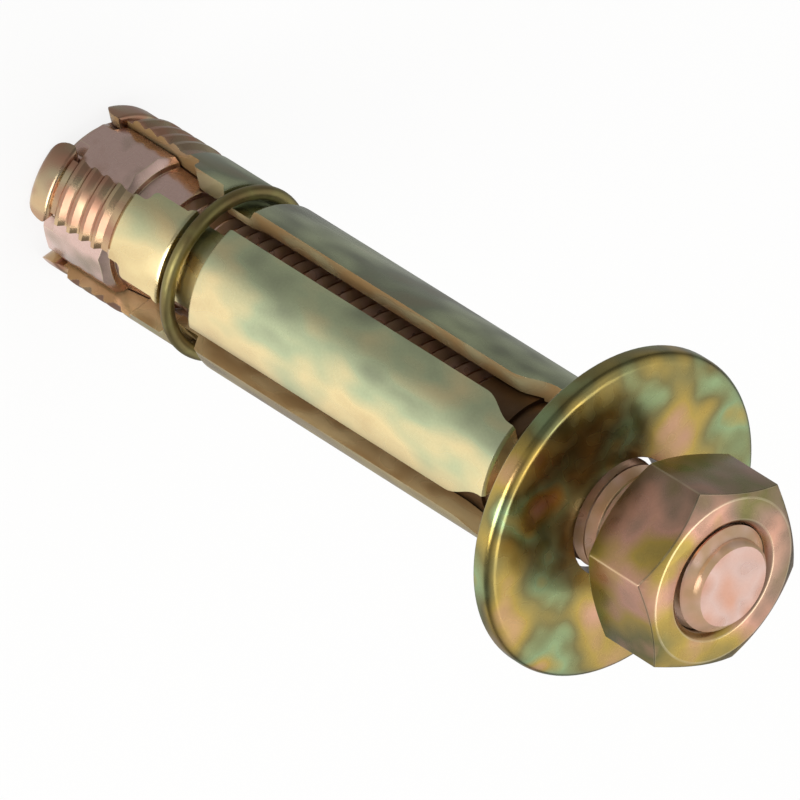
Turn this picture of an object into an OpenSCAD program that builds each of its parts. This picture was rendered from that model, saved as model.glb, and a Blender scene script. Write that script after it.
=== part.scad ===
// Masonry anchor with a four part expanding shield, a threaded stud, a loose washer and a hex nut.
// It stands on its finger tips at z = 0, with the nut end up +Z. Sizes are millimetres.

/* [Shield] */
// Outside diameter of the shield sleeve
shield_d = 16; // [15.6:0.1:18]
// Length of the shield from the finger tips to the mouth
shield_len = 60; // [52:1:80]
// Wall thickness of the pressed segments
wall = 1.9; // [1.6:0.1:2.1]
// Angle that each slot takes out of the sleeve
slot_angle = 20; // [12:1:24]
// Angle that each segment's tab covers at the mouth
tab_angle = 49; // [40:1:56]
// Length over which a slot flares out to the tabs
tab_flare = 4.2; // [3:0.1:6]

/* [Fingers] */
// Length of the narrow finger that ends each segment, lip included
finger_len = 13; // [10.5:0.5:14]
// Angle that a finger covers
finger_angle = 44; // [36:1:48]
// Length of the lip at the finger's tip
lip_len = 2.9; // [2.4:0.1:3.6]
// Angle that the lip covers
lip_angle = 56; // [50:1:60]
// Rounding of the lip's two corners
lip_corner = 2.3; // [1:0.1:2.6]
// Angle that the shoulder between the finger and the ring covers
shoulder_angle = 60; // [50:1:66]
// Height that the grip ridges stand proud of the sleeve
ridge_proud = 0.1; // [0.05:0.05:0.25]
// Depth of the valleys between the grip ridges
ridge_depth = 0.4; // [0.2:0.05:0.8]
// Distance from one grip ridge to the next
ridge_pitch = 1.6; // [1.2:0.1:2.4]

/* [Retaining ring] */
// Wire diameter of the ring that holds the segments together
ring_wire = 1.3; // [1.1:0.1:1.7]
// Height of the ring's centre above the finger tips
ring_z = 18.8; // [18:0.1:21]
// Length of the flat floor of the ring's groove
groove_len = 2.9; // [2.4:0.1:3.4]
// Opening between the ends of the ring
ring_split = 1.2; // [0.6:0.1:3]

/* [Expander nut] */
// Rise of the taper for each millimetre of length
taper = 0.1; // [0.06:0.01:0.11]
// Height that the tapered stretch starts above the finger tips
taper_start = 4.5; // [3.5:0.25:5]
// Height of the expander's lower end above the finger tips
expander_foot = 0.6; // [0.4:0.1:1.5]
// Distance from the axis to the flat top of a lobe
lobe_reach = 7.05; // [6.9:0.05:7.3]
// Distance that the stud can draw the expander into the shield
draw_travel = 3; // [1:0.25:3]

/* [Ferrule] */
// Length of the ferrule inside the shield's mouth
ferrule_len = 7.6; // [5:0.1:12]
// Height of the ferrule's top below the shield's mouth
ferrule_drop = 0.4; // [0.2:0.1:0.8]
// Height of the hook that holds a segment on the ferrule
hook_len = 0.8; // [0.6:0.1:1.2]
// Distance from the shield's mouth to the hook's centre
hook_drop = 2; // [1.8:0.1:3]

/* [Stud and nut] */
// Thread diameter of the stud
stud_d = 10; // [9.8:0.1:10.2]
// Height that the stud stands out of the nut
stud_out = 1.2; // [0.8:0.1:12]
// Chamfer on the ends of the stud
stud_chamfer = 1.3; // [0.6:0.1:1.6]
// Width of the nut across its flats
nut_af = 16; // [15:0.5:19]
// Height of the nut
nut_h = 8; // [6:0.1:10]
// Turn of the nut's first corner away from the first segment's middle
nut_turn = 14; // [0:1:59]

/* [Washer] */
// Outside diameter of the washer
washer_od = 30; // [20:1:40]
// Hole diameter of the washer
washer_id = 11; // [10.6:0.1:12]
// Thickness of the washer
washer_t = 2.2; // [1.6:0.1:3]
// Rounding of the washer's front edge
washer_edge = 0.9; // [0.3:0.1:1.2]
// Space from the shield's mouth to the washer
fixture_gap = 6.5; // [2:0.1:30]
// Space from the washer to the nut
nut_gap = 4.6; // [0.5:0.1:30]

/* [Clearances] */
// Space between the expander's taper and the fingers
taper_gap = 0.1; // [0.08:0.01:0.15]
// Space between the ferrule and the segments
ferrule_gap = 0.1; // [0.08:0.01:0.15]
// Space between the ferrule and the stud
stud_gap = 0.3; // [0.15:0.05:0.35]
// Space between the stud's thread and the nut's thread
thread_gap = 0.05; // [0.02:0.01:0.1]
// Space under the ring, which the segments take up as they open
ring_gap = 0.35; // [0.33:0.01:0.45]
// Space between a lobe and the sides of its window
lobe_gap = 0.25; // [0.15:0.05:0.35]

/* [Hidden] */
$fn = 96;
zinc = "#c8a86a";
zinc_pink = "#c99a80";

// Sleeve
sleeve_r = shield_d / 2;
bore_r = sleeve_r - wall;
crest_r = sleeve_r + ridge_proud;
valley_r = crest_r - ridge_depth;
shoulder_r = sleeve_r + ridge_proud / 2;
mouth_chamfer = 0.25;
edge = 0.3;

// Ring and groove
ring_seat = 1.25;
groove_r = sleeve_r - ring_seat - ring_gap / 2;
ring_mid_r = groove_r + ring_gap + ring_wire / 2;
ring_side = 0.1;
groove_foot = ring_z - ring_wire / 2 - ring_side;
groove_top = groove_foot + groove_len;
groove_flank = 1.1;
neck_wall = 0.95;
neck_r = groove_r - neck_wall;

// Fingers: half widths of the windows between them, across the slot's middle plane
function half_width(angle) = sleeve_r * sin(45 - angle / 2);
lip_w = half_width(lip_angle);
window_w = half_width(finger_angle);
shoulder_w = half_width(shoulder_angle);
slot_w = sleeve_r * sin(slot_angle / 2);
tab_w = half_width(tab_angle);
tab_len = 0.7;
lip_drop = 0.2;
lip_r = sleeve_r - lip_drop;
lip_round = 1.1;
notch_depth = 0.45;
notch_r = lip_r - notch_depth;
notch_len = 1.0;
ridge_start = lip_len + notch_len;
ridge_end = finger_len - 1.5 * ridge_pitch;
ridge_count = floor((ridge_end - ridge_start + edge) / ridge_pitch);
corner = 0.5;
tip_round = min(lip_corner, lip_len - corner);

// Taper shared by the fingers and the expander
taper_past = 1;
taper_end = finger_len + taper_past;
throat_r = neck_r;
mouth_of_taper_r = throat_r + taper * (taper_end - taper_start);

// Ferrule and hooks
ferrule_r = bore_r - ferrule_gap;
hook_depth = 0.35;
hook_z = shield_len - hook_drop;
hook_side = 0.15;

// Expander
expander_drop = 0.2;
expander_top = taper_end - expander_drop;
lobe_top = finger_len - draw_travel - taper_gap;
lobe_flat = 1.3;
lobe_slope = 0.8;
lobe_nose = 1.5;

// Stack along the stud
washer_z = shield_len + fixture_gap;
nut_z = washer_z + washer_t + nut_gap;
stud_r = stud_d / 2;
stud_foot = expander_foot + edge;
stud_top = nut_z + nut_h + stud_out;
nut_chamfer_r = 0.475 * nut_af;
nut_corner_r = nut_af / sqrt(3);
nut_sink = 0.55;

function arc(cx, cy, r, from, to, steps) =
    [for (i = [0:steps]) [cx + r * cos(from + (to - from) * i / steps),
                          cy + r * sin(from + (to - from) * i / steps)]];

function smooth(s) = s * s * (3 - 2 * s);

// One side of a slot, from the finger tips up to the mouth, as [half width, height]
function slot_side() = concat(
    [[lip_w + tip_round, -tip_round]],
    arc(lip_w + tip_round, tip_round, tip_round, 270, 180, 8),
    arc(lip_w + corner, lip_len - corner, corner, 180, 90, 5),
    [[window_w, lip_len]],
    arc(window_w - corner, finger_len - corner, corner, 0, 90, 5),
    arc(shoulder_w + corner, finger_len + corner, corner, 270, 180, 5),
    [[shoulder_w, groove_foot - 3 * edge], [slot_w, groove_foot - edge / 2]],
    [for (i = [0:8]) [slot_w + (tab_w - slot_w) * smooth(i / 8),
                      shield_len - tab_len - tab_flare * (1 - i / 8)]],
    [[tab_w, shield_len + tab_len]]
);

function mirrored(points) = [for (i = [len(points) - 1:-1:0]) [-points[i][0], points[i][1]]];

// The window between two fingers and the slot above it, cut outwards through the wall
module slot_cutter() {
    translate([neck_r * 0.7, 0, 0]) rotate([90, 0, 90])
        linear_extrude(height = sleeve_r)
            polygon(concat(slot_side(), mirrored(slot_side())));
}

// Outer line of a segment, from the lip up to the mouth, as [radius, height]
function outer_line() = concat(
    arc(lip_r - lip_round, lip_round, lip_round, 300, 360, 4),
    arc(notch_r, lip_len - notch_depth, notch_depth, 0, 90, 4),
    [[notch_r, ridge_start - edge]],
    [for (i = [0:ridge_count - 1], p = [[valley_r, 0], [crest_r, 0.3], [crest_r, 0.55], [valley_r, 0.85]])
        [p[0], ridge_start + (i + p[1]) * ridge_pitch]],
    [[valley_r, ridge_end + edge], [shoulder_r, ridge_end + 3 * edge], [shoulder_r, groove_foot - 2 * edge]],
    [[shoulder_r - edge / 2, groove_foot - edge], [groove_r, groove_foot], [groove_r, groove_top]],
    [[sleeve_r - edge / 2, groove_top + 0.85 * groove_flank], [sleeve_r, groove_top + 1.2 * groove_flank]],
    [[sleeve_r, shield_len - mouth_chamfer], [sleeve_r - mouth_chamfer, shield_len]]
);

// Inner line of a segment, from the mouth down to the lip
function inner_line() = [
    [bore_r, shield_len], [bore_r, hook_z + hook_len / 2], [bore_r - hook_depth, hook_z + hook_len / 2],
    [bore_r - hook_depth, hook_z - hook_len / 2], [bore_r, hook_z - hook_len / 2],
    [bore_r, groove_top + 2 * groove_flank], [throat_r, groove_top], [throat_r, taper_end],
    [mouth_of_taper_r, taper_start], [mouth_of_taper_r, edge], [mouth_of_taper_r + edge, 0]
];

module segment(index) {
    color(zinc) rotate([0, 0, 90 * index]) difference() {
        rotate([0, 0, -45]) rotate_extrude(angle = 90) polygon(concat(outer_line(), inner_line()));
        for (side = [-45, 45]) rotate([0, 0, side]) slot_cutter();
    }
}

// Spring wire ring, open at the back
module retaining_ring() {
    split_angle = 2 * asin(ring_split / 2 / ring_mid_r);
    color(zinc) translate([0, 0, ring_z]) rotate([0, 0, 180 - 13 + split_angle / 2])
        rotate_extrude(angle = 360 - split_angle)
            translate([ring_mid_r, 0]) circle(d = ring_wire, $fn = 32);
}

// Collar inside the mouth, with a groove that the segments hook into
module ferrule() {
    top = shield_len - ferrule_drop;
    hook_floor = bore_r - hook_depth - ferrule_gap;
    color(zinc_pink) rotate_extrude() polygon([
        [stud_r + stud_gap, top], [stud_r + stud_gap, top - ferrule_len], [ferrule_r - edge, top - ferrule_len],
        [ferrule_r, top - ferrule_len + edge], [ferrule_r, hook_z - hook_len / 2 - hook_side],
        [hook_floor, hook_z - hook_len / 2 - hook_side], [hook_floor, hook_z + hook_len / 2 + hook_side],
        [ferrule_r, hook_z + hook_len / 2 + hook_side], [ferrule_r, top - edge], [ferrule_r - edge, top]
    ]);
}

// Cross section of a lobe that stands in a window: flat top and sloping sides
module lobe_section(half) {
    flat = min(lobe_flat, half - edge);
    foot = lobe_reach - lobe_slope;
    polygon([[stud_r - edge, -half], [foot, -half], [lobe_reach, -flat], [lobe_reach, flat], [foot, half],
             [stud_r - edge, half]]);
}

// Tapered nut on the stud's foot, with four lobes that stop it from turning in the shield
module expander_nut() {
    foot_r = mouth_of_taper_r - taper_gap;
    color(zinc_pink) difference() {
        union() {
            rotate_extrude() polygon([
                [0, expander_foot], [foot_r - 2 * edge, expander_foot], [foot_r, expander_foot + 2 * edge],
                [foot_r, taper_start], [throat_r - taper_gap + taper * (taper_end - expander_top), expander_top],
                [0, expander_top]
            ]);
            intersection() {
                for (turn = [45:90:315]) rotate([0, 0, turn]) {
                    translate([0, 0, expander_foot]) linear_extrude(height = lobe_top - expander_foot)
                        lobe_section(lip_w - lobe_gap);
                    translate([0, 0, lip_len + edge]) linear_extrude(height = lobe_top - lip_len - edge)
                        lobe_section(window_w - lobe_gap);
                }
                rotate_extrude() polygon([
                    [0, expander_foot], [lobe_reach - lobe_nose, expander_foot],
                    [lobe_reach + edge, expander_foot + lobe_nose], [lobe_reach + edge, lobe_top - 3 * edge],
                    [lobe_reach - 2 * edge, lobe_top], [0, lobe_top]
                ]);
            }
        }
        translate([0, 0, expander_foot - 1]) cylinder(r = stud_r + thread_gap, h = expander_top + 2);
    }
}

// Threaded rod, drawn at its thread diameter
module stud() {
    color(zinc_pink) rotate_extrude() polygon([
        [0, stud_foot], [stud_r - 2 * edge, stud_foot], [stud_r, stud_foot + 2 * edge],
        [stud_r, stud_top - stud_chamfer],
        [stud_r - stud_chamfer, stud_top], [0, stud_top]
    ]);
}

// Washer with a rounded front edge and a slightly broken back edge
module washer() {
    outer = washer_od / 2;
    color(zinc) translate([0, 0, washer_z]) rotate_extrude() polygon(concat(
        [[washer_id / 2, washer_t], [washer_id / 2, 0], [outer - edge, 0], [outer, edge]],
        arc(outer - washer_edge, washer_t - washer_edge, washer_edge, 0, 90, 8)
    ));
}

// Hexagon nut, chamfered on both ends
module hex_nut() {
    cone_r = nut_corner_r + edge;
    rise = (cone_r - nut_chamfer_r) * tan(30);
    bore = stud_r + thread_gap;
    color(zinc_pink) translate([0, 0, nut_z]) difference() {
        intersection() {
            rotate([0, 0, nut_turn]) cylinder(r = nut_corner_r, h = nut_h, $fn = 6);
            rotate_extrude() polygon([
                [0, 0], [nut_chamfer_r, 0], [cone_r, rise], [cone_r, nut_h - rise],
                [nut_chamfer_r, nut_h], [0, nut_h]
            ]);
        }
        translate([0, 0, -1]) cylinder(r = bore, h = nut_h + 2);
        translate([0, 0, nut_h - nut_sink]) cylinder(r1 = bore, r2 = bore + nut_sink, h = nut_sink);
        mirror([0, 0, 1]) translate([0, 0, -nut_sink]) cylinder(r1 = bore, r2 = bore + nut_sink, h = nut_sink);
    }
}

segment(0);  // segment_1
segment(1);  // segment_2
segment(2);  // segment_3
segment(3);  // segment_4
retaining_ring();
ferrule();
expander_nut();
stud();
washer();
hex_nut();
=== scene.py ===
import math

import bmesh
import bpy
from bpy.props import FloatProperty, FloatVectorProperty, IntProperty, PointerProperty
from mathutils import Matrix, Vector


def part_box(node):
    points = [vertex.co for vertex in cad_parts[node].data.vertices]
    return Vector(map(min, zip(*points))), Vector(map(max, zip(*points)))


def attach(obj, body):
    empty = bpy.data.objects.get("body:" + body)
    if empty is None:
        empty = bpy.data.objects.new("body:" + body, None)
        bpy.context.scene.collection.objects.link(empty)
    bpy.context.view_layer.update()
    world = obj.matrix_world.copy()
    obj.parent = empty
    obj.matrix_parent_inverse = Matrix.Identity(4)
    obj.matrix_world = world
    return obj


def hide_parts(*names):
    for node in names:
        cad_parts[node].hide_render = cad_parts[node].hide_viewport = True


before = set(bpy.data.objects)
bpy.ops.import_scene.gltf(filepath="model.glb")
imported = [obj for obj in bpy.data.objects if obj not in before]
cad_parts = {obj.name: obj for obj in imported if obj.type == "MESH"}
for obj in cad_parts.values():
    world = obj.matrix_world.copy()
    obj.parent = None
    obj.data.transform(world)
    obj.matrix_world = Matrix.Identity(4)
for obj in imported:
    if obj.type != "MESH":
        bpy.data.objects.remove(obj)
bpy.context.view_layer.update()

bl_info = {
    "name": "Masonry Shield Anchor",
    "version": (1, 0, 0),
    "blender": (4, 5, 0),
    "location": "3D View > Sidebar > Anchor",
    "description": "Surfaces and finishes of a four part expanding masonry anchor",
    "category": "Add Mesh",
}

MM = 0.001
SEGMENTS = ("segment_1", "segment_2", "segment_3", "segment_4")
SEGMENT_BODIES = ("segment_a", "segment_b", "segment_c", "segment_d")

# Points nearer to each other than this, in metres, are one point
MERGE = 1e-6
# Faces of a CAD mesh that turn by less than this are one flat face
FLAT = math.radians(0.6)
# Edges that turn by more than this are rounded, in so many steps
SHARP = math.radians(28)
ROUND_STEPS = 3
# Smooth shading stops at edges that turn by more than this
CREASE = math.radians(40)
THREAD_CREASE = math.radians(35)

# How far the thread's crest stays inside the CAD's plain rod
THREAD_GAP = 0.03 * MM

# The plated steel's grain, drawn coarser than it is so that it shows, and its depth
GRAIN = 0.25 * MM
GRAIN_DEPTH = 0.02 * MM
# The film's small patches are this much finer than its broad ones
FINER = 3.3

# Half the side of the picture in its points, and the width of the camera's sensor in millimetres
HALF_PICTURE = 400
SENSOR_WIDTH = 36
# Name, place and size in metres, and watts of each round lamp, and the point that they light
LAMPS = (
    ("key", (0.42, 0.17, 0.12), 0.30, 1.6),
    ("fill", (0.10, -0.60, 0.50), 0.60, 0.3),
    ("top", (-0.30, 0.10, 0.80), 0.50, 1.5),
)
LIT_POINT = (0, 0, 0.03)


def linear(hex_colour):
    """The linear colour of an sRGB hex value."""
    channels = [int(hex_colour[i:i + 2], 16) / 255 for i in (0, 2, 4)]
    return [c / 12.92 if c <= 0.04045 else ((c + 0.055) / 1.055) ** 2.4 for c in channels]


def colour(name, description, hex_colour):
    return FloatVectorProperty(name=name, description=description, subtype="COLOR", size=3,
                               min=0, max=1, default=linear(hex_colour))


def length(name, description, millimetres):
    return FloatProperty(name=name, description=description, unit="LENGTH", min=0,
                         precision=5, default=millimetres * MM)


def angle(name, description, degrees):
    return FloatProperty(name=name, description=description, subtype="ANGLE",
                         default=math.radians(degrees))


def number(name, description, value):
    return FloatProperty(name=name, description=description, default=value)


class AnchorStage(bpy.types.PropertyGroup):
    """Camera, room and floor."""
    sight_angle: angle("Sight angle", "Angle between the anchor's axis and the line of sight", 51)
    image_turn: angle("Image turn", "Angle of the anchor's axis in the picture, down to the right", 32.2)
    body_turn: angle("Body turn", "Turn of the first segment's middle away from the camera", 13)
    distance: length("Distance", "Distance from the camera to the shield's mouth", 1500)
    pixels_per_mm: number("Scale", "Picture points for each millimetre", 11.9)
    mouth_x: number("Mouth across", "Place of the shield's mouth across the picture", 554)
    mouth_y: number("Mouth down", "Place of the shield's mouth down the picture", 474)
    mouth_height: length("Mouth height", "Height of the shield's mouth above the floor", 60)
    floor_size: length("Floor size", "Side of the square floor", 6000)
    floor_colour: colour("Floor", "Colour of the floor", "E6E5E2")
    ambient: number("Room light", "Strength of the light from all round", 0.9)
    room_dark: number("Dark side", "What metal sees of the room near the camera", 0.22)
    room_light: number("Light side", "What metal sees of the room overhead and beyond the anchor", 0.95)
    # Painted light: the floor's glow that metal sees, dim on one side and bright on the other
    painted_glow_far: number("Board far side", "What metal sees of the floor away from the key lamp", 0.42)
    painted_glow_near: number("Board near side", "What metal sees of the floor by the key lamp", 1.25)
    painted_glow_turn: angle("Board turn", "Direction of the lightest part of the floor, from the camera's", 55)


class AnchorForms(bpy.types.PropertyGroup):
    """Sizes of the rounded edges and of the thread."""
    sheet_edge: length("Sheet edge", "Rounding of the pressed segments' edges", 0.28)
    ridge_top: length("Ridge top", "Height of the last ridge above the finger tips", 11)
    expander_edge: length("Expander edge", "Rounding of the expander's edges", 0.3)
    washer_edge: length("Washer edge", "Rounding of the washer's back edge and hole", 0.12)
    nut_edge: length("Nut edge", "Rounding of the nut's edges", 0.2)
    thread_pitch: length("Thread pitch", "Rise of the thread in one turn", 1.5)
    thread_depth: length("Thread depth", "Depth of the thread below its crest", 0.92)
    thread_steps: IntProperty(name="Thread steps", description="Steps in one turn of the thread", default=48)
    end_chamfer: length("End chamfer", "Chamfer on the stud's ends", 1.3)


class AnchorFinish(bpy.types.PropertyGroup):
    """Colours of the yellow passivated zinc, which shifts with the thickness of its film, and of the painted
    shade and highlight on it.
    """
    pale_gold: colour("Pale gold", "Thin film on the sleeve", "C8AF82")
    cream: colour("Cream", "Brightest film on the sleeve", "E0CC9A")
    mint: colour("Mint", "Greenish film on the sleeve and the stud", "B4BC96")
    blue_grey: colour("Blue grey", "Bluish film on the sleeve", "868B74")
    mauve: colour("Mauve", "Purplish film on the sleeve, the expander and the stud", "8E806C")
    rose: colour("Rose", "Pinkish film on the fingers and the expander", "A87F68")
    lilac: colour("Lilac", "Pale pink film on the expander and the stud", "CDAFA4")
    salmon: colour("Salmon", "Pink film on the nut, the washer and the stud", "C89882")
    russet: colour("Russet", "Brownish pink film on the nut", "A08470")
    gold: colour("Gold", "Thicker film on the nut, the washer and the stud", "B0964E")
    olive: colour("Olive", "Thickest film, on the ring, the washer and the nut", "80784C")
    green: colour("Green", "Green film on the washer", "8FA276")
    # This colour is the ring's film, and painted shade on the collar and inside the washer's and the nut's
    # holes
    brown_and_shade: colour("Brown", "Film on the ring and ferrule and inside the holes", "6A5138")
    # Film colour that is also painted shade on the slots' sides, inner faces and thread roots
    orange_and_shade: colour("Orange", "Film on the slots' cut sides and in the thread", "A08258")
    # Painted shade for the collar deep in the mouth
    shade: colour("Shade", "Dull film inside the mouth", "4A3C30")
    # Pale edges: wear, and a painted highlight along the rounded edges
    wear_and_highlight: colour("Worn edge", "Thin bright film along the edges", "DDD0AE")


GROUPS = {"anchor_stage": AnchorStage, "anchor_forms": AnchorForms, "anchor_finish": AnchorFinish}


def add_node(tree, kind, inputs=None, output=0, stops=(), **settings):
    """Adds a node, sets it, fills or links its inputs, and returns one of its outputs."""
    node = tree.nodes.new(kind)
    for name, value in settings.items():
        setattr(node, name, value)
    for key, value in (inputs or {}).items():
        socket = node.inputs[key]
        if isinstance(value, bpy.types.NodeSocket):
            tree.links.new(value, socket)
        elif socket.type == "RGBA":
            socket.default_value = (*value[:3], 1)
        else:
            socket.default_value = value
    if stops:
        elements = node.color_ramp.elements
        while len(elements) < len(stops):
            elements.new(0.5)
        for element, (place, value) in zip(elements, stops):
            element.position = place
            element.color = (*value, 1)
    return node.outputs[output]


def passivated_zinc(name, stops, patch, stretch=(1, 1, 1), shift=(0, 0, 0), roughness=0.3, contrast=1.5,
                    mottle=0.15, painted_light_run=(0, 0, 0), tints=()):
    """Yellow passivated zinc: a chromate film on electroplated steel. Its film varies in thickness over a few
    millimetres, which gives the eye soft patches of gold, green and pink. patch is their size and shift their
    move, both in millimetres. painted_light_run is how much the film grows for each millimetre, which paints
    light and shade onto one side of the part. Each tint is a corner attribute, the colour that it brings and
    its strength."""
    material = bpy.data.materials.new(name)
    material.use_nodes = True
    tree = material.node_tree
    shader = tree.nodes["Principled BSDF"]
    place = add_node(tree, "ShaderNodeTexCoord", output="Object")
    moved = [-part * MM for part in shift]
    mapped = add_node(tree, "ShaderNodeMapping", {"Vector": place, "Location": moved, "Scale": stretch})

    # Film thickness: broad patches, broken a little by smaller ones, and the painted light along one
    # direction
    broad = add_node(tree, "ShaderNodeTexNoise", {"Vector": mapped, "Scale": 1 / (patch * MM), "Detail": 1.0,
                                                  "Roughness": 0.4})
    small = add_node(tree, "ShaderNodeTexNoise", {"Vector": mapped, "Scale": FINER / (patch * MM),
                                                  "Detail": 0.5})
    film = add_node(tree, "ShaderNodeMath", {0: broad, 1: contrast, 2: 0.5 - (contrast + mottle) / 2},
                    operation="MULTIPLY_ADD")
    film = add_node(tree, "ShaderNodeMath", {0: small, 1: mottle, 2: film}, operation="MULTIPLY_ADD")
    painted_light_slope = add_node(tree, "ShaderNodeVectorMath", {0: place, 1: [part / MM for part in painted_light_run]}, output="Value",
                     operation="DOT_PRODUCT")
    film = add_node(tree, "ShaderNodeMath", {0: film, 1: painted_light_slope}, operation="ADD")
    base = add_node(tree, "ShaderNodeValToRGB", {"Fac": film}, stops=stops)

    # The grain shows as slight light and dark specks
    speck_share = 0.2
    grain = add_node(tree, "ShaderNodeTexNoise", {"Vector": place, "Scale": 1 / GRAIN, "Detail": 2.0,
                                                  "Roughness": 0.6})
    specks = add_node(tree, "ShaderNodeMapRange", {"Value": grain, "From Min": 0.25, "From Max": 0.75,
                                                   "To Min": 0.38, "To Max": 0.62})
    base = add_node(tree, "ShaderNodeMix", {0: speck_share, 6: base, 7: specks}, output=2, data_type="RGBA",
                    blend_type="OVERLAY")

    # The tints, painted shade and highlight among them, are broken up a little, unevenly
    tint_break = add_node(tree, "ShaderNodeMapRange", {"Value": small, "From Min": 0.35, "From Max": 0.6,
                                                "To Min": 0.55, "To Max": 1.0})
    for attribute, tint, strength in tints:
        where = add_node(tree, "ShaderNodeAttribute", output="Fac", attribute_name=attribute)
        where = add_node(tree, "ShaderNodeMath", {0: where, 1: strength}, operation="MULTIPLY")
        where = add_node(tree, "ShaderNodeMath", {0: where, 1: tint_break}, operation="MULTIPLY")
        base = add_node(tree, "ShaderNodeMix", {0: where, 6: base, 7: tint}, output=2, data_type="RGBA")
    tree.links.new(base, shader.inputs["Base Color"])

    # The film is dull and scatters light where the plating bath hardly reached
    dull = add_node(tree, "ShaderNodeAttribute", output="Fac", attribute_name="recess")
    metal = add_node(tree, "ShaderNodeMapRange", {"Value": dull, "To Min": 1.0, "To Max": 0.35})
    tree.links.new(metal, shader.inputs["Metallic"])
    rough = add_node(tree, "ShaderNodeMapRange", {"Value": small, "From Min": 0.3, "From Max": 0.7,
                                                  "To Min": roughness - 0.05, "To Max": roughness + 0.06})
    tree.links.new(rough, shader.inputs["Roughness"])
    relief = add_node(tree, "ShaderNodeBump", {"Strength": 0.06, "Distance": GRAIN_DEPTH, "Height": grain})
    tree.links.new(relief, shader.inputs["Normal"])
    return material


def dress(piece, material):
    piece.data.materials.clear()
    piece.data.materials.append(material)


def mark(bm, name, value):
    """Stores a value on every face corner for the materials to read."""
    layer = bm.loops.layers.float.new(name)
    for face in bm.faces:
        for loop in face.loops:
            loop[layer] = value(face, loop.vert.co)


def turned_away(face, place):
    """1 where a face looks inwards or along a slot's side, 0 where it looks mostly outwards, up or down."""
    radius = math.hypot(place.x, place.y)
    outwards = (face.normal.x * place.x + face.normal.y * place.y) / radius if radius > MERGE else 1
    return float(outwards < 0.5 and abs(face.normal.z) < 0.5)


def make_piece(bm, name, crease):
    """Makes the bmesh an object in the scene, smooth but for its creases."""
    for face in bm.faces:
        face.smooth = True
    mesh = bpy.data.meshes.new(name)
    bm.to_mesh(mesh)
    bm.free()
    mesh.set_sharp_from_angle(angle=crease)
    piece = bpy.data.objects.new(name, mesh)
    bpy.context.scene.collection.objects.link(piece)
    return piece


def rounded_copy(node, name, radius, marks):
    """A merged copy of a CAD node with its sharp edges rounded and its corners marked, the rounded ones for
    wear and a painted highlight.
    """
    bm = bmesh.new()
    bm.from_mesh(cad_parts[node].data)
    bmesh.ops.remove_doubles(bm, verts=bm.verts, dist=MERGE)
    bmesh.ops.dissolve_limit(bm, angle_limit=FLAT, verts=bm.verts, edges=bm.edges)
    edges = [e for e in bm.edges if len(e.link_faces) == 2 and e.calc_face_angle(0) > SHARP]
    rounded = set(bmesh.ops.bevel(bm, geom=edges, offset=radius, offset_type="OFFSET", segments=ROUND_STEPS,
                                  profile=0.5, affect="EDGES", clamp_overlap=True, material=-1)["faces"])
    bm.normal_update()
    # Rounded faces are marked for a pale tint of wear and painted highlight
    mark(bm, "wear_and_highlight", lambda face, place: float(face in rounded))
    for attribute, value in marks.items():
        mark(bm, attribute, value)
    return make_piece(bm, name, CREASE)


def stand_for(piece, node, body):
    """Puts a piece on its body in place of its CAD node."""
    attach(piece, body)
    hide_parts(node)


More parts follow.
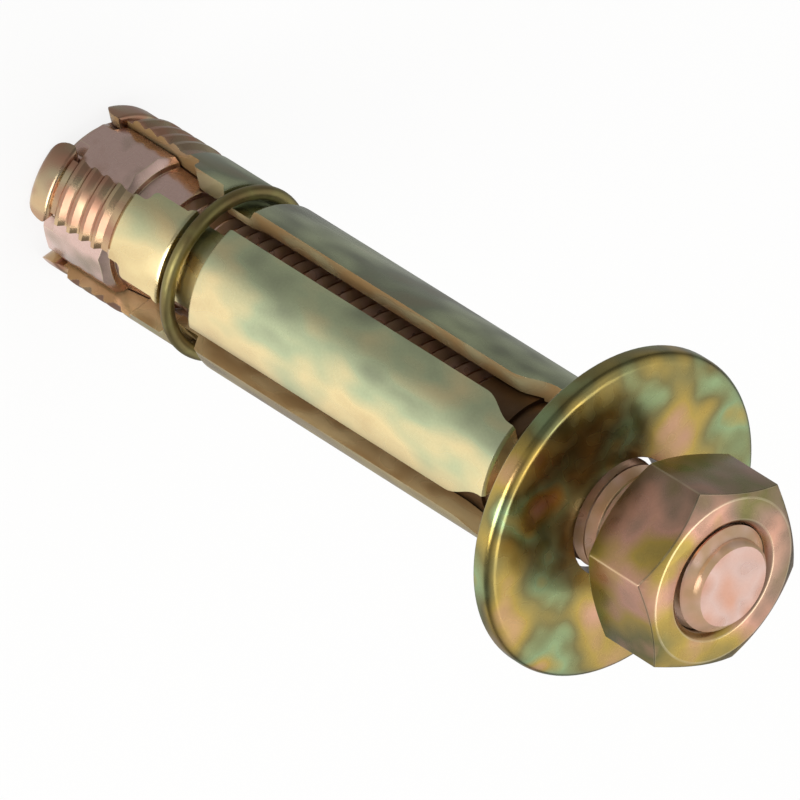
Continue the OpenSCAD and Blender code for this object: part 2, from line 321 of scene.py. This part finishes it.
class ANCHOR_OT_stage(bpy.types.Operator):
    """Sets up the camera, the lamps and the pale floor"""
    bl_idname = "anchor.stage"
    bl_label = "Stage"

    def execute(self, context):
        stage = context.scene.anchor_stage
        self.camera(context, stage)
        self.floor(stage)
        self.lamps(context)
        self.room(context, stage)
        context.scene.view_settings.view_transform = "Standard"
        return {"FINISHED"}

    def camera(self, context, stage):
        sight, turn, body = stage.sight_angle, stage.image_turn, stage.body_turn
        # The anchor's own directions in the world: towards the camera, across, and along
        towards = Vector((math.cos(body), -math.sin(body), 0))
        across = Vector((math.sin(body), math.cos(body), 0))
        along = Vector((0, 0, 1))
        # The picture's directions, from those
        right = (-math.cos(sight) * math.cos(turn) * towards - math.sin(turn) * across
                 + math.sin(sight) * math.cos(turn) * along)
        down = (-math.cos(sight) * math.sin(turn) * towards + math.cos(turn) * across
                + math.sin(sight) * math.sin(turn) * along)
        forward = -math.sin(sight) * towards - math.cos(sight) * along
        pixels_per_metre = 1000 * stage.pixels_per_mm
        aim = (Vector((0, 0, stage.mouth_height)) - (stage.mouth_x - HALF_PICTURE) / pixels_per_metre * right
               - (stage.mouth_y - HALF_PICTURE) / pixels_per_metre * down)
        data = bpy.data.cameras.new("camera")
        data.sensor_width = SENSOR_WIDTH
        data.lens = pixels_per_metre * stage.distance * data.sensor_width / (2 * HALF_PICTURE)
        camera = bpy.data.objects.new("camera", data)
        camera.matrix_world = Matrix((
            (right.x, -down.x, -forward.x, 0), (right.y, -down.y, -forward.y, 0),
            (right.z, -down.z, -forward.z, 0), (0, 0, 0, 1)))
        camera.location = aim - stage.distance * forward
        context.scene.collection.objects.link(camera)
        context.scene.camera = camera

    def floor(self, stage):
        bm = bmesh.new()
        bmesh.ops.create_grid(bm, x_segments=1, y_segments=1, size=stage.floor_size / 2)
        floor = make_piece(bm, "floor", CREASE)
        # Matt painted board: plain white to the eye but for a soft shadow, and to metal a glow of painted
        # light
        material = bpy.data.materials.new("board_with_painted_light")
        material.use_nodes = True
        tree = material.node_tree
        shader = tree.nodes["Principled BSDF"]
        shader.inputs["Base Color"].default_value = (*stage.floor_colour, 1)
        shader.inputs["Roughness"].default_value = 0.9
        # Painted light: metal sees the board glow, lightest on the key lamp's side, up to a cosine of 0.4
        # away, and darker further out
        turn = stage.painted_glow_turn - stage.body_turn
        light_ends, light_middle = 0.4, 1.0
        # A painted pool of light: the glow is full out to inner, and fades to outer_share of it at outer
        inner, outer, outer_share = 100 * MM, 450 * MM, 0.3
        place = add_node(tree, "ShaderNodeTexCoord", output="Object")
        heading = add_node(tree, "ShaderNodeVectorMath", {0: place}, operation="NORMALIZE")
        side = add_node(tree, "ShaderNodeVectorMath", {0: heading, 1: (math.cos(turn), math.sin(turn), 0)},
                        output="Value", operation="DOT_PRODUCT")
        board = add_node(tree, "ShaderNodeMapRange",
                         {"Value": side, "From Min": light_ends, "From Max": light_middle,
                          "To Min": stage.painted_glow_far, "To Max": stage.painted_glow_near},
                         interpolation_type="SMOOTHSTEP")
        reach = add_node(tree, "ShaderNodeVectorMath", {0: place}, output="Value", operation="LENGTH")
        pool = add_node(tree, "ShaderNodeMapRange",
                        {"Value": reach, "From Min": inner, "From Max": outer, "To Min": 1.0,
                         "To Max": outer_share},
                        interpolation_type="SMOOTHSTEP")
        board = add_node(tree, "ShaderNodeMath", {0: board, 1: pool}, operation="MULTIPLY")
        # The eye sees this share of plain white, and the rest of the board, which keeps the shadow
        white = 0.85
        rays = add_node(tree, "ShaderNodeLightPath").node.outputs
        glossy = rays["Is Glossy Ray"]
        seen = add_node(tree, "ShaderNodeMath", {0: rays["Is Camera Ray"], 1: rays["Is Transmission Ray"]},
                        operation="MAXIMUM")
        share = add_node(tree, "ShaderNodeMath", {0: seen, 1: white, 2: glossy}, operation="MULTIPLY_ADD")
        # Glossy rays see only the painted glow, without the lamps' light or the shadow
        strength = add_node(tree, "ShaderNodeMix", {0: glossy, 2: 1.0, 3: board})
        glow = add_node(tree, "ShaderNodeEmission", {"Color": (1, 1, 1), "Strength": strength})
        part = add_node(tree, "ShaderNodeMixShader", {0: share, 1: shader.outputs[0], 2: glow})
        tree.links.new(part, tree.nodes["Material Output"].inputs["Surface"])
        dress(floor, material)

    def lamps(self, context):
        for name, place, size, watts in LAMPS:
            data = bpy.data.lights.new(name, "AREA")
            data.shape = "DISK"
            data.size = size
            data.energy = watts
            lamp = bpy.data.objects.new(name, data)
            lamp.location = place
            lamp.rotation_euler = (Vector(LIT_POINT) - Vector(place)).to_track_quat("-Z", "Y").to_euler()
            context.scene.collection.objects.link(lamp)

    def room(self, context, stage):
        world = bpy.data.worlds.new("room")
        context.scene.world = world
        world.use_nodes = True
        tree = world.node_tree
        background = tree.nodes["Background"]
        # Metal sees a room that is dark behind the camera, and light overhead and beyond the anchor
        body = stage.body_turn
        beyond, overhead = 0.6, 0.8
        dark_below, light_above = 0.1, 0.85
        light = Vector((-math.cos(body) * beyond, math.sin(body) * beyond, overhead))
        direction = add_node(tree, "ShaderNodeTexCoord", output="Generated")
        side = add_node(tree, "ShaderNodeVectorMath", {0: direction, 1: light}, output="Value",
                        operation="DOT_PRODUCT")
        wall = add_node(tree, "ShaderNodeMapRange",
                        {"Value": side, "From Min": dark_below, "From Max": light_above,
                         "To Min": stage.room_dark, "To Max": stage.room_light},
                        interpolation_type="SMOOTHSTEP")
        rays = add_node(tree, "ShaderNodeLightPath").node.outputs
        seen = add_node(tree, "ShaderNodeMath", {0: rays["Is Camera Ray"], 1: rays["Is Transmission Ray"]},
                        operation="MAXIMUM")
        strength = add_node(tree, "ShaderNodeMix", {0: rays["Is Glossy Ray"], 2: stage.ambient, 3: wall})
        strength = add_node(tree, "ShaderNodeMix", {0: seen, 2: strength, 3: 1.0})
        tree.links.new(strength, background.inputs["Strength"])
        background.inputs["Color"].default_value = (1, 1, 1, 1)


class ANCHOR_OT_segments(bpy.types.Operator):
    """Finishes the four pressed segments of the shield"""
    bl_idname = "anchor.segments"
    bl_label = "Shield segments"

    def execute(self, context):
        film, forms = context.scene.anchor_finish, context.scene.anchor_forms
        # Pressed strip: cream and mint patches drawn out along it, going blue grey and mauve in painted shade
        # towards -y
        stops = [(0.0, film.rose), (0.22, film.pale_gold), (0.42, film.cream), (0.6, film.mint),
                 (0.8, film.blue_grey), (1.0, film.mauve)]
        # Slot sides and inner faces take a darker film colour that is partly painted shade
        tints = [("ridged", film.rose, 1.0), ("recess", film.orange_and_shade, 1.0), ("wear_and_highlight", film.wear_and_highlight, 0.55)]
        zinc = passivated_zinc("yellow_passivated_sleeve", stops, patch=6, stretch=(1, 1, 0.5),
                               roughness=0.28, contrast=0.65, mottle=0.35, painted_light_run=(0.006, -0.026, 0),
                               tints=tints)
        marks = {
            "recess": turned_away,
            "ridged": lambda face, place: float(place.z < forms.ridge_top),
        }
        for node, body in zip(SEGMENTS, SEGMENT_BODIES):
            piece = rounded_copy(node, "pressed_" + node, forms.sheet_edge, marks)
            dress(piece, zinc)
            stand_for(piece, node, body)
        return {"FINISHED"}


class ANCHOR_OT_ring(bpy.types.Operator):
    """Finishes the spring wire ring and the ferrule inside the mouth"""
    bl_idname = "anchor.ring"
    bl_label = "Ring and ferrule"

    def execute(self, context):
        film = context.scene.anchor_finish
        # Drawn spring wire takes a thick, rather dull olive film
        stops = [(0.0, film.brown_and_shade), (0.5, film.olive), (1.0, film.brown_and_shade)]
        dress(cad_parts["retaining_ring"],
              passivated_zinc("yellow_passivated_wire", stops, patch=4, roughness=0.42))
        # Painted shade: the collar deep in the mouth is coloured dark for the shade there, and hardly shines
        stops = [(0.0, film.shade), (0.6, film.brown_and_shade), (1.0, film.shade)]
        dress(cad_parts["ferrule"],
              passivated_zinc("collar_painted_shade", stops, patch=4, roughness=0.5))
        return {"FINISHED"}


class ANCHOR_OT_expander(bpy.types.Operator):
    """Finishes the tapered expander nut"""
    bl_idname = "anchor.expander"
    bl_label = "Expander nut"

    def execute(self, context):
        film, forms = context.scene.anchor_finish, context.scene.anchor_forms
        # Cold formed steel, with a thin pale pink film
        stops = [(0.0, film.mauve), (0.4, film.lilac), (0.7, film.lilac), (1.0, film.rose)]
        piece = rounded_copy("expander_nut", "tapered_expander", forms.expander_edge, {})
        # Its rounded edges are pale with wear and a painted highlight
        dress(piece, passivated_zinc("yellow_passivated_expander", stops, patch=3.5, roughness=0.27,
                                     tints=[("wear_and_highlight", film.wear_and_highlight, 0.5)]))
        stand_for(piece, "expander_nut", "stud_group")
        return {"FINISHED"}


class ANCHOR_OT_stud(bpy.types.Operator):
    """Models the stud with its rolled thread"""
    bl_idname = "anchor.stud"
    bl_label = "Stud"

    def execute(self, context):
        film, forms = context.scene.anchor_finish, context.scene.anchor_forms
        low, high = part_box("stud")
        crest = high.x - THREAD_GAP
        pitch, depth, chamfer, steps = (forms.thread_pitch, forms.thread_depth, forms.end_chamfer,
                                        forms.thread_steps)
        root = crest - depth

        bm = bmesh.new()
        # One turn: each point's radius, and its height as a share of the pitch
        profile = [(crest, 0), (crest, 0.12), (root, 0.44), (root, 0.68), (crest, 1)]
        # The thread runs past both ends of the stud, by these turns, and is cut off there
        lead_in, spare = 1.5, 2
        start = low.z - lead_in * pitch
        turns = math.ceil((high.z - low.z) / pitch) + spare
        line = [bm.verts.new((r, 0, start + share * pitch)) for r, share in profile]
        edges = [bm.edges.new(pair) for pair in zip(line, line[1:])]
        bmesh.ops.spin(bm, geom=line + edges, cent=(0, 0, 0), axis=(0, 0, 1), dvec=(0, 0, pitch / steps),
                       angle=2 * math.pi, steps=steps, use_duplicate=False)
        first = bm.verts[:] + bm.edges[:] + bm.faces[:]
        # Each further turn is a copy of the first, joined to it along a seam of this width
        seam = 0.01 * MM
        for turn in range(1, turns):
            copied = bmesh.ops.duplicate(bm, geom=first)["geom"]
            bmesh.ops.translate(bm, vec=(0, 0, turn * pitch),
                                verts=[item for item in copied if isinstance(item, bmesh.types.BMVert)])
        bmesh.ops.remove_doubles(bm, verts=bm.verts, dist=seam)
        for height, normal in ((low.z, (0, 0, -1)), (high.z, (0, 0, 1))):
            bmesh.ops.bisect_plane(bm, geom=bm.verts[:] + bm.edges[:] + bm.faces[:], dist=MERGE,
                                   plane_co=(0, 0, height), plane_no=normal, clear_outer=True)
        bmesh.ops.holes_fill(bm, edges=[e for e in bm.edges if e.is_boundary], sides=0)
        # The chamfer draws in what stands out past its cone
        for vert in bm.verts:
            radius = math.hypot(vert.co.x, vert.co.y)
            end = min(high.z - vert.co.z, vert.co.z - low.z)
            limit = crest - chamfer + min(max(end, 0), chamfer)
            if radius > limit:
                vert.co.x *= limit / radius
                vert.co.y *= limit / radius
        bmesh.ops.recalc_face_normals(bm, faces=bm.faces)
        bm.normal_update()

        flat_end = 0.95

        def in_groove(face, place):
            """1 at the root, less up the flanks, 0 on the crest and on the stud's flat ends."""
            steep = abs(face.normal.z)
            if steep >= flat_end:
                return 0.0
            return min(max((crest - math.hypot(place.x, place.y)) / depth, steep), 1.0)

        mark(bm, "recess", in_groove)
        piece = make_piece(bm, "threaded_stud", THREAD_CREASE)
        # Rolled thread: pink crests, with a darker film in the grooves that is partly painted shade, deepest
        # at the root
        stops = [(0.0, film.mauve), (0.35, film.salmon), (0.5, film.lilac), (0.65, film.salmon),
                 (0.85, film.mint), (1.0, film.gold)]
        dress(piece, passivated_zinc("yellow_passivated_thread", stops, patch=5, roughness=0.32, contrast=0.9,
                                     tints=[("recess", film.orange_and_shade, 0.8)]))
        stand_for(piece, "stud", "stud_group")
        return {"FINISHED"}


class ANCHOR_OT_washer(bpy.types.Operator):
    """Finishes the large flat washer"""
    bl_idname = "anchor.washer"
    bl_label = "Washer"

    def execute(self, context):
        film, forms = context.scene.anchor_finish, context.scene.anchor_forms
        # Punched sheet: a thick gold film with green and pink patches, and painted shade inside the hole
        stops = [(0.0, film.salmon), (0.3, film.gold), (0.5, film.olive), (0.7, film.green),
                 (0.85, film.gold), (1.0, film.salmon)]
        piece = rounded_copy("washer", "flat_washer", forms.washer_edge, {"recess": turned_away})
        dress(piece, passivated_zinc("yellow_passivated_washer", stops, patch=5.5, shift=(3, 1, 0),
                                     roughness=0.26, contrast=1.4, tints=[("recess", film.brown_and_shade, 0.9)]))
        stand_for(piece, "washer", "washer_group")
        return {"FINISHED"}


class ANCHOR_OT_nut(bpy.types.Operator):
    """Finishes the hex nut"""
    bl_idname = "anchor.nut"
    bl_label = "Hex nut"

    def execute(self, context):
        film, forms = context.scene.anchor_finish, context.scene.anchor_forms
        # Cold formed hexagon: pink and gold film in turn, shifted towards +y by painted light
        stops = [(0.0, film.russet), (0.18, film.olive), (0.34, film.russet), (0.48, film.salmon),
                 (0.66, film.gold), (0.84, film.olive), (1.0, film.salmon)]
        piece = rounded_copy("hex_nut", "chamfered_nut", forms.nut_edge, {"recess": turned_away})
        # Painted shade in the bore; the edges are pale with wear and a painted highlight
        dress(piece, passivated_zinc("yellow_passivated_nut", stops, patch=5, roughness=0.28, contrast=0.8,
                                     painted_light_run=(0.006, 0.028, 0),
                                     tints=[("recess", film.brown_and_shade, 0.9), ("wear_and_highlight", film.wear_and_highlight, 0.3)]))
        stand_for(piece, "hex_nut", "nut_group")
        return {"FINISHED"}


STEPS = (ANCHOR_OT_stage, ANCHOR_OT_segments, ANCHOR_OT_ring, ANCHOR_OT_expander, ANCHOR_OT_stud,
         ANCHOR_OT_washer, ANCHOR_OT_nut)


class ANCHOR_PT_pieces(bpy.types.Panel):
    """Lists the anchor's settings and pieces"""
    bl_idname = "ANCHOR_PT_pieces"
    bl_label = "Anchor"
    bl_space_type = "VIEW_3D"
    bl_region_type = "UI"
    bl_category = "Anchor"

    def draw(self, context):
        for name, group in GROUPS.items():
            box = self.layout.box()
            for prop in group.__annotations__:
                box.prop(getattr(context.scene, name), prop)
        for step in STEPS:
            self.layout.operator(step.bl_idname)


CLASSES = (*GROUPS.values(), *STEPS, ANCHOR_PT_pieces)


def register():
    for cls in CLASSES:
        bpy.utils.register_class(cls)
    for name, group in GROUPS.items():
        setattr(bpy.types.Scene, name, PointerProperty(type=group))


def unregister():
    for name in GROUPS:
        delattr(bpy.types.Scene, name)
    for cls in reversed(CLASSES):
        bpy.utils.unregister_class(cls)


def main():
    register()
    for step in STEPS:
        group, name = step.bl_idname.split(".")
        getattr(getattr(bpy.ops, group), name)()


if __name__ == "__main__":
    main()
